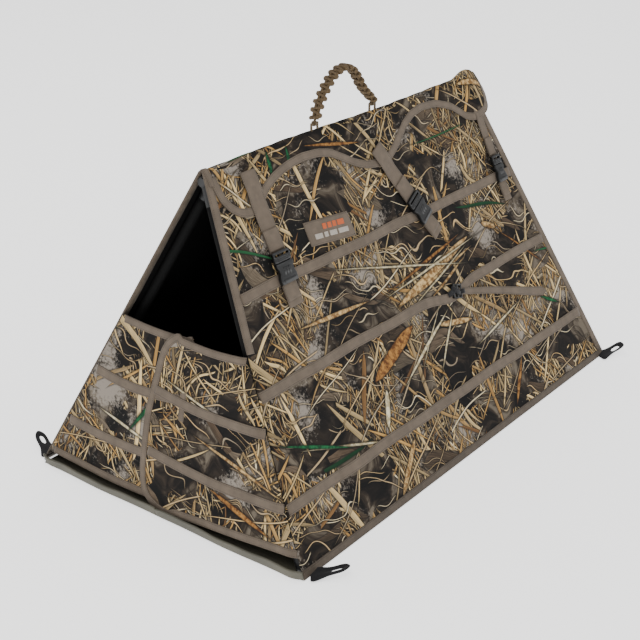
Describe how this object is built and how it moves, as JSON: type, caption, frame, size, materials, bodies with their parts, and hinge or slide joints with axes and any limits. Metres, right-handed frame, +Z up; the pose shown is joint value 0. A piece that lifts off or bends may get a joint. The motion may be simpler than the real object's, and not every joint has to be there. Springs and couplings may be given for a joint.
{
  "type": "field blind",
  "caption": "Tent-shaped dog field blind: two hinged side frames with fabric panels, floor, two front doors, buckled ridge cap, braided handle and stake loops.",
  "frame": {"origin": "ground level at the middle of the base rectangle, on the underside of the floor", "axes": "+X along the ridge from the open front to the closed rear, -Y towards the buckled side panel, +Z up"},
  "size_m": [1.1081, 0.7413, 0.7157],
  "materials": {
    "frame_tube": "black powder-coated steel tube, satin",
    "frame_fitting": "black powder-coated pressed steel",
    "nylon_moulding": "moulded black nylon",
    "camo_cloth": "printed 600-denier polyester, coated inside",
    "taupe_webbing": "taupe polyester webbing and binding tape",
    "floor_cloth": "coated olive-grey floor cloth",
    "black_webbing": "black polypropylene webbing",
    "paracord": "braided brown nylon cord",
    "patch_cloth": "taupe woven patch with stitched border"
  },
  "bodies": {
    "far_side": {"far_base_sleeve": "taupe_webbing", "far_base_tube": "frame_tube", "far_floor": "floor_cloth", "far_front_edge_sleeve": "taupe_webbing", "far_front_elbow": "nylon_moulding", "far_front_ridge_clamp": "frame_fitting", "far_front_stake_loop": "black_webbing", "far_front_upright": "frame_tube", "far_panel": "camo_cloth", "far_rear_edge_sleeve": "taupe_webbing", "far_rear_elbow": "nylon_moulding", "far_rear_ridge_clamp": "frame_fitting", "far_rear_stake_loop": "black_webbing", "far_rear_upright": "frame_tube", "far_rear_wall": "camo_cloth", "far_ridge_cap": "camo_cloth", "far_stubble_straps": "taupe_webbing", "ridge_tube": "frame_tube", "ridge_plugs": "nylon_moulding", "handle_anchors": "paracord"},
    "near_side": {"near_base_sleeve": "taupe_webbing", "near_base_tube": "frame_tube", "near_floor": "floor_cloth", "near_front_edge_sleeve": "taupe_webbing", "near_front_elbow": "nylon_moulding", "near_front_hinge_eye": "frame_fitting", "near_front_stake_loop": "black_webbing", "near_front_upright": "frame_tube", "near_panel": "camo_cloth", "near_rear_edge_sleeve": "taupe_webbing", "near_rear_elbow": "nylon_moulding", "near_rear_hinge_eye": "frame_fitting", "near_rear_stake_loop": "black_webbing", "near_rear_upright": "frame_tube", "near_rear_wall": "camo_cloth", "near_ridge_cap": "camo_cloth", "near_stubble_straps": "taupe_webbing", "front_upper_strap": "taupe_webbing", "front_lower_strap": "taupe_webbing", "front_buckle_socket": "nylon_moulding", "middle_upper_strap": "taupe_webbing", "middle_lower_strap": "taupe_webbing", "middle_buckle_socket": "nylon_moulding", "rear_upper_strap": "taupe_webbing", "rear_lower_strap": "taupe_webbing", "rear_buckle_socket": "nylon_moulding", "name_patch": "patch_cloth", "tail_webbing": "taupe_webbing", "tail_slider": "nylon_moulding"},
    "near_door": {"near_door": "camo_cloth", "near_door_straps": "taupe_webbing"},
    "far_door": {"far_door": "camo_cloth", "far_door_straps": "taupe_webbing"},
    "handle": {"handle_weave": "paracord", "handle_end_loops": "paracord"},
    "front_plug": {"front_buckle_plug": "nylon_moulding"},
    "middle_plug": {"middle_buckle_plug": "nylon_moulding"},
    "rear_plug": {"rear_buckle_plug": "nylon_moulding"}
  },
  "joints": [
    {"name": "ridge_fold", "type": "hinge", "parent": "far_side", "child": "near_side", "pos_m": [0, 0, 0.58578], "axis": [1, 0, 0], "range_deg": [0, 46], "deforming": ["near_floor", "far_floor", "near_rear_wall", "far_rear_wall", "near_door", "far_door", "near_door_straps", "far_door_straps", "near_ridge_cap", "far_ridge_cap"]},
    {"name": "near_door_swing", "type": "hinge", "parent": "near_side", "child": "near_door", "pos_m": [-0.535, -0.315, 0], "axis": [0.1787, 0.4503, 0.8748], "range_deg": [0, 100]},
    {"name": "far_door_swing", "type": "hinge", "parent": "far_side", "child": "far_door", "pos_m": [-0.535, 0.315, 0], "axis": [0.1787, -0.4503, 0.8748], "range_deg": [0, 55]},
    {"name": "handle_swing", "type": "hinge", "parent": "far_side", "child": "handle", "pos_m": [0, 0, 0.6195], "axis": [1, 0, 0], "range_deg": [-80, 80]},
    {"name": "front_buckle_release", "type": "slide", "parent": "near_side", "child": "front_plug", "axis": [0, 0.4576, 0.8891], "range_m": [0, 0.028], "deforming": ["front_upper_strap"]},
    {"name": "middle_buckle_release", "type": "slide", "parent": "near_side", "child": "middle_plug", "axis": [-0.4226, 0.4148, 0.8058], "range_m": [0, 0.028], "deforming": ["middle_upper_strap"]},
    {"name": "rear_buckle_release", "type": "slide", "parent": "near_side", "child": "rear_plug", "axis": [0, 0.4576, 0.8891], "range_m": [0, 0.028], "deforming": ["rear_upper_strap"]}
  ]
}
